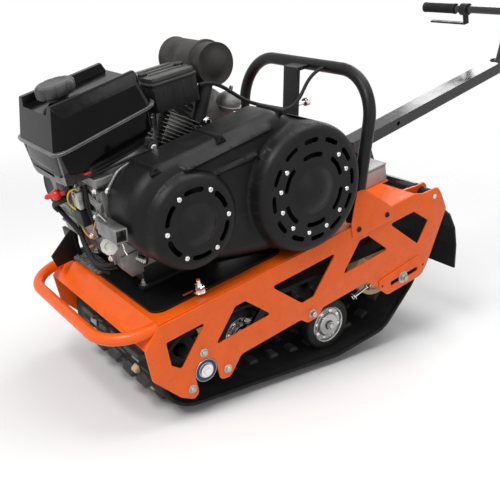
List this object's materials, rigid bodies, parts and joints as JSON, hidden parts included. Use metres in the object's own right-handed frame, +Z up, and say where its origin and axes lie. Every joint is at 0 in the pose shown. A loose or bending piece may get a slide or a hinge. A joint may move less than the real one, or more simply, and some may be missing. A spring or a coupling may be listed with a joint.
{
  "type": "motorized snow tug",
  "caption": "Tracked towing unit with engine over the track, side drive cover, guard hoop and a lifting steering beam with handlebar at the rear.",
  "frame": {"origin": "On the ground, under the middle of the whole outline.", "axes": "X forward along the direction of travel, Y to the left, Z up, as parked on its track."},
  "size_m": [1.4801, 0.648, 0.8516],
  "materials": {
    "orange_paint": "powder coated, satin",
    "black_paint": "powder coated, fine texture",
    "soft_rubber": "smooth",
    "zinc_steel": "zinc plated",
    "cream_plastic": "nylon",
    "track_rubber": "moulded",
    "cast_alloy": "as cast",
    "black_plastic": "moulded, fine grain",
    "black_gloss": "gloss",
    "white_plastic": "moulded",
    "chrome_steel": "bright plated"
  },
  "bodies": {
    "tug": {"side_plate_left": "orange_paint", "side_plate_right": "orange_paint", "deck_sheet": "orange_paint", "engine_plate": "black_paint", "front_bumper": "orange_paint", "plate_brackets": "orange_paint", "guard_hoop": "black_paint", "guard_post": "black_paint", "throttle_cable": "soft_rubber", "shaft_bearings": "zinc_steel", "drive_sprockets": "cream_plastic", "track": "track_rubber", "road_wheel_tyres": "soft_rubber", "road_wheel_hubs": "cast_alloy", "suspension_arms": "black_paint", "axles": "zinc_steel", "rear_idlers": "cream_plastic", "crankcase": "cast_alloy", "cylinder_block": "cast_alloy", "cylinder_head": "cast_alloy", "fan_shroud": "black_plastic", "engine_top_cover": "black_plastic", "fuel_tank": "black_gloss", "fuel_cap": "black_plastic", "air_filter_box": "black_plastic", "muffler": "black_paint", "engine_switch_box": "black_plastic", "starter_motor": "black_paint", "oil_filler_cap": "white_plastic", "drive_cover": "black_gloss", "vent_discs": "black_plastic", "cover_backing": "black_paint", "drive_pulleys": "cast_alloy", "pulley_shafts": "zinc_steel", "jack_shaft_bearings": "black_paint", "chain_case": "black_plastic", "battery": "white_plastic", "hinge_lugs": "orange_paint", "frame_fasteners": "chrome_steel", "cross_members": "black_paint", "mud_flap": "soft_rubber"},
    "steering_beam": {"steering_beam": "black_paint", "beam_brackets": "black_paint", "tilt_bolt": "chrome_steel"},
    "handlebar": {"handlebar": "black_paint", "handlebar_grips": "soft_rubber", "bar_levers": "black_plastic"}
  },
  "joints": [
    {"name": "beam_lift", "type": "hinge", "parent": "tug", "child": "steering_beam", "pos_m": [-0.19139, 0, 0.40023], "axis": [0, 1, 0], "range_deg": [-20, 28]},
    {"name": "handlebar_tilt", "type": "hinge", "parent": "steering_beam", "child": "handlebar", "pos_m": [-0.69546, 0, 0.68568], "axis": [0, 1, 0], "range_deg": [-60, 25]}
  ]
}
